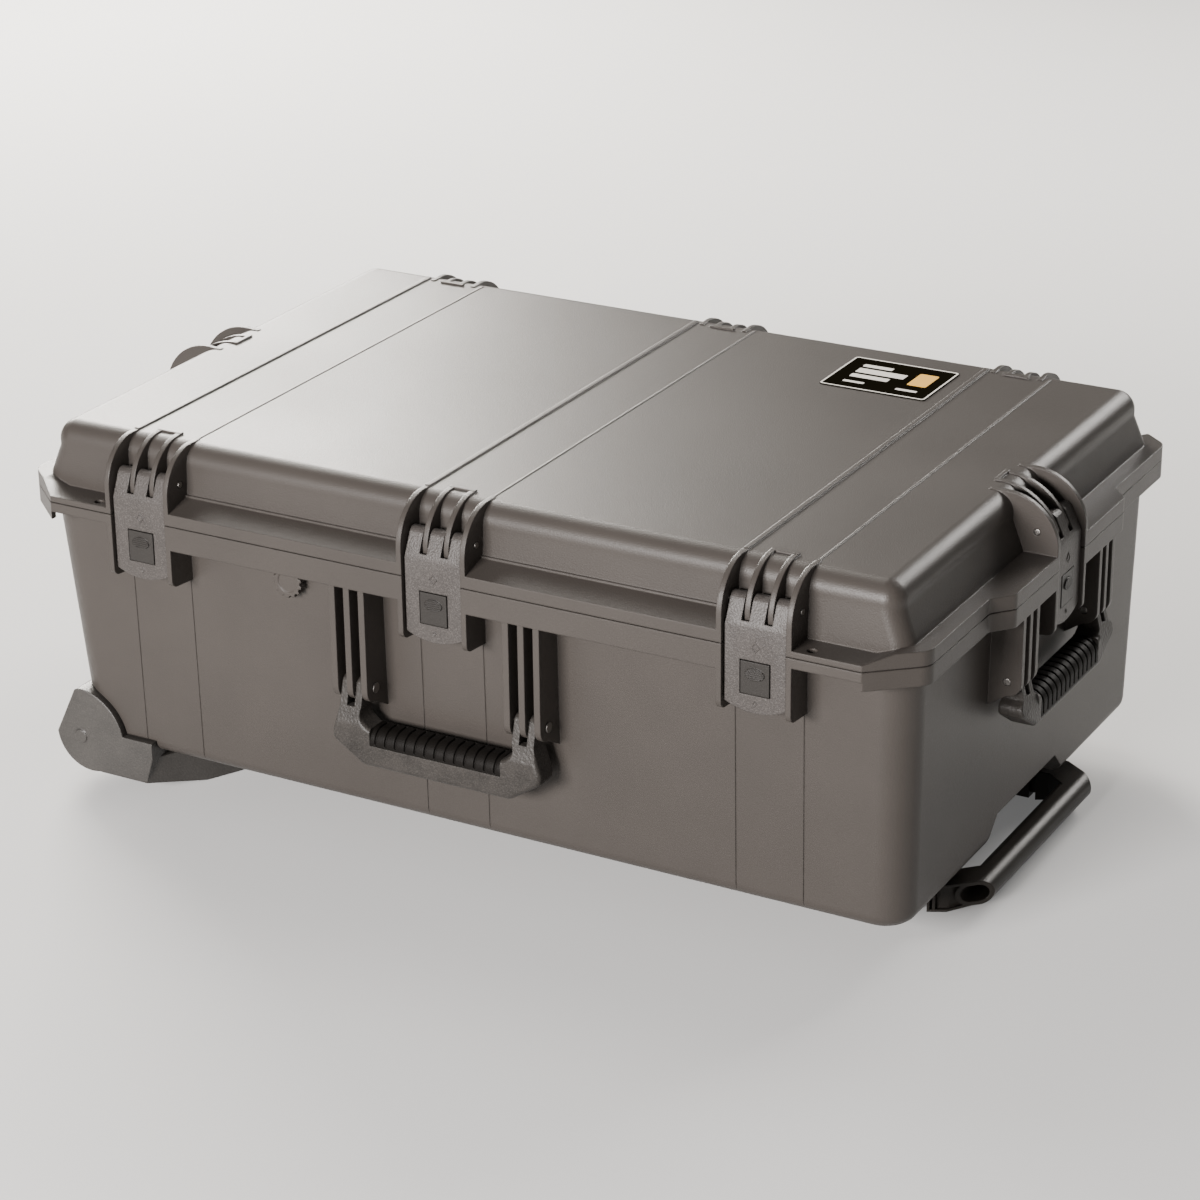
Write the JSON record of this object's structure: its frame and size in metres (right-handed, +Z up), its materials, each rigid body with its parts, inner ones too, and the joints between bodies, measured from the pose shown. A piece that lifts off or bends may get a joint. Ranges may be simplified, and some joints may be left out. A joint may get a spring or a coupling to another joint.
{
  "type": "wheeled hard equipment case",
  "caption": "Wheeled moulded equipment case with hinged lid, press-and-pull latches, folding carry handles and a sliding pull handle.",
  "frame": {"origin": "on the ground under the middle of the closed case", "axes": "+X along the case towards the pull-handle end, front with latches and handle faces -Y, +Z up"},
  "size_m": [0.801, 0.522, 0.31],
  "materials": {
    "shell_resin": "satin moulded resin, fine grain",
    "latch_resin": "fine speckled moulded texture",
    "button_resin": "smooth satin",
    "handle_resin": "mottled moulded texture",
    "grip_rubber": "soft ribbed rubber",
    "seal_rubber": "soft closed-cell rubber",
    "membrane": "thin vent membrane",
    "label": "thin glossy plate",
    "tyre_rubber": "smooth rubber",
    "hub_resin": "satin",
    "housing_resin": "moulded texture",
    "pull_resin": "satin moulded resin",
    "pin_steel": "dark steel"
  },
  "bodies": {
    "base": {"base_shell": "shell_resin", "hinge_pins": "pin_steel", "valve_body": "shell_resin", "valve_seal": "seal_rubber", "valve_membrane": "membrane", "valve_nut": "shell_resin", "valve_cap": "shell_resin", "handle_pins_front": "pin_steel", "handle_pins_right": "pin_steel", "handle_pins_left": "pin_steel", "wheel_housing_front": "housing_resin", "wheel_housing_back": "housing_resin", "wheel_axle_front": "pin_steel", "wheel_axle_back": "pin_steel", "pull_guide_front": "pull_resin", "pull_guide_back": "pull_resin", "rest_feet": "pull_resin", "floor_screws": "pin_steel"},
    "lid": {"lid_shell": "shell_resin", "lid_gasket": "seal_rubber", "label_plate": "label", "latch_pins": "pin_steel"},
    "latch_front_left": {"latch_front_left": "latch_resin", "spring_front_left": "pin_steel"},
    "button_front_left": {"button_front_left": "button_resin"},
    "latch_front_middle": {"latch_front_middle": "latch_resin", "spring_front_middle": "pin_steel"},
    "button_front_middle": {"button_front_middle": "button_resin"},
    "latch_front_right": {"latch_front_right": "latch_resin", "spring_front_right": "pin_steel"},
    "button_front_right": {"button_front_right": "button_resin"},
    "latch_right_end": {"latch_right_end": "latch_resin", "spring_right_end": "pin_steel"},
    "button_right_end": {"button_right_end": "button_resin"},
    "latch_left_end": {"latch_left_end": "latch_resin", "spring_left_end": "pin_steel"},
    "button_left_end": {"button_left_end": "button_resin"},
    "handle_front": {"handle_front": "handle_resin", "grip_front": "grip_rubber"},
    "handle_right": {"handle_right": "handle_resin", "grip_right": "grip_rubber"},
    "handle_left": {"handle_left": "handle_resin", "grip_left": "grip_rubber"},
    "wheel_front": {"wheel_tyre_front": "tyre_rubber", "wheel_hub_front": "hub_resin", "wheel_bearings_front": "pin_steel"},
    "wheel_back": {"wheel_tyre_back": "tyre_rubber", "wheel_hub_back": "hub_resin", "wheel_bearings_back": "pin_steel"},
    "pull_handle": {"pull_grip": "pull_resin", "pull_arm_front": "pull_resin", "pull_arm_back": "pull_resin", "pull_arm_plug_front": "pull_resin", "pull_arm_plug_back": "pull_resin", "pull_rivets": "pin_steel"}
  },
  "joints": [
    {"name": "lid_hinge", "type": "hinge", "parent": "base", "child": "lid", "pos_m": [0, 0.255, 0.256], "axis": [-1, 0, 0], "range_deg": [0, 105]},
    {"name": "latch_hinge_front_left", "type": "hinge", "parent": "lid", "child": "latch_front_left", "pos_m": [-0.2635, -0.241, 0.2815], "axis": [-1, 0, 0], "range_deg": [0, 95]},
    {"name": "button_press_front_left", "type": "slide", "parent": "latch_front_left", "child": "button_front_left", "axis": [0, 1, 0], "range_m": [0, 0.0025], "stiffness_N_per_m": 400, "springref_m": -0.002},
    {"name": "latch_hinge_front_middle", "type": "hinge", "parent": "lid", "child": "latch_front_middle", "pos_m": [0, -0.241, 0.2815], "axis": [-1, 0, 0], "range_deg": [0, 95]},
    {"name": "button_press_front_middle", "type": "slide", "parent": "latch_front_middle", "child": "button_front_middle", "axis": [0, 1, 0], "range_m": [0, 0.0025], "stiffness_N_per_m": 400, "springref_m": -0.002},
    {"name": "latch_hinge_front_right", "type": "hinge", "parent": "lid", "child": "latch_front_right", "pos_m": [0.2635, -0.241, 0.2815], "axis": [-1, 0, 0], "range_deg": [0, 95]},
    {"name": "button_press_front_right", "type": "slide", "parent": "latch_front_right", "child": "button_front_right", "axis": [0, 1, 0], "range_m": [0, 0.0025], "stiffness_N_per_m": 400, "springref_m": -0.002},
    {"name": "latch_hinge_right_end", "type": "hinge", "parent": "lid", "child": "latch_right_end", "pos_m": [0.3805, 0, 0.2815], "axis": [0, -1, 0], "range_deg": [0, 95]},
    {"name": "button_press_right_end", "type": "slide", "parent": "latch_right_end", "child": "button_right_end", "axis": [-1, 0, 0], "range_m": [0, 0.0025], "stiffness_N_per_m": 400, "springref_m": -0.002},
    {"name": "latch_hinge_left_end", "type": "hinge", "parent": "lid", "child": "latch_left_end", "pos_m": [-0.3805, 0, 0.2815], "axis": [0, 1, 0], "range_deg": [0, 95]},
    {"name": "button_press_left_end", "type": "slide", "parent": "latch_left_end", "child": "button_left_end", "axis": [1, 0, 0], "range_m": [0, 0.0025], "stiffness_N_per_m": 400, "springref_m": -0.002},
    {"name": "handle_hinge_front", "type": "hinge", "parent": "base", "child": "handle_front", "pos_m": [0, -0.2465, 0.151], "axis": [-1, 0, 0], "range_deg": [0, 90]},
    {"name": "handle_hinge_right", "type": "hinge", "parent": "base", "child": "handle_right", "pos_m": [0.386, 0, 0.187], "axis": [0, -1, 0], "range_deg": [0, 90]},
    {"name": "handle_hinge_left", "type": "hinge", "parent": "base", "child": "handle_left", "pos_m": [-0.386, 0, 0.187], "axis": [0, 1, 0], "range_deg": [0, 90]},
    {"name": "wheel_spin_front", "type": "hinge", "parent": "base", "child": "wheel_front", "pos_m": [-0.354, -0.203, 0.04], "axis": [0, 1, 0], "continuous": true},
    {"name": "wheel_spin_back", "type": "hinge", "parent": "base", "child": "wheel_back", "pos_m": [-0.354, 0.203, 0.04], "axis": [0, 1, 0], "continuous": true},
    {"name": "pull_slide", "type": "slide", "parent": "base", "child": "pull_handle", "axis": [1, 0, 0], "range_m": [0, 0.4]}
  ]
}
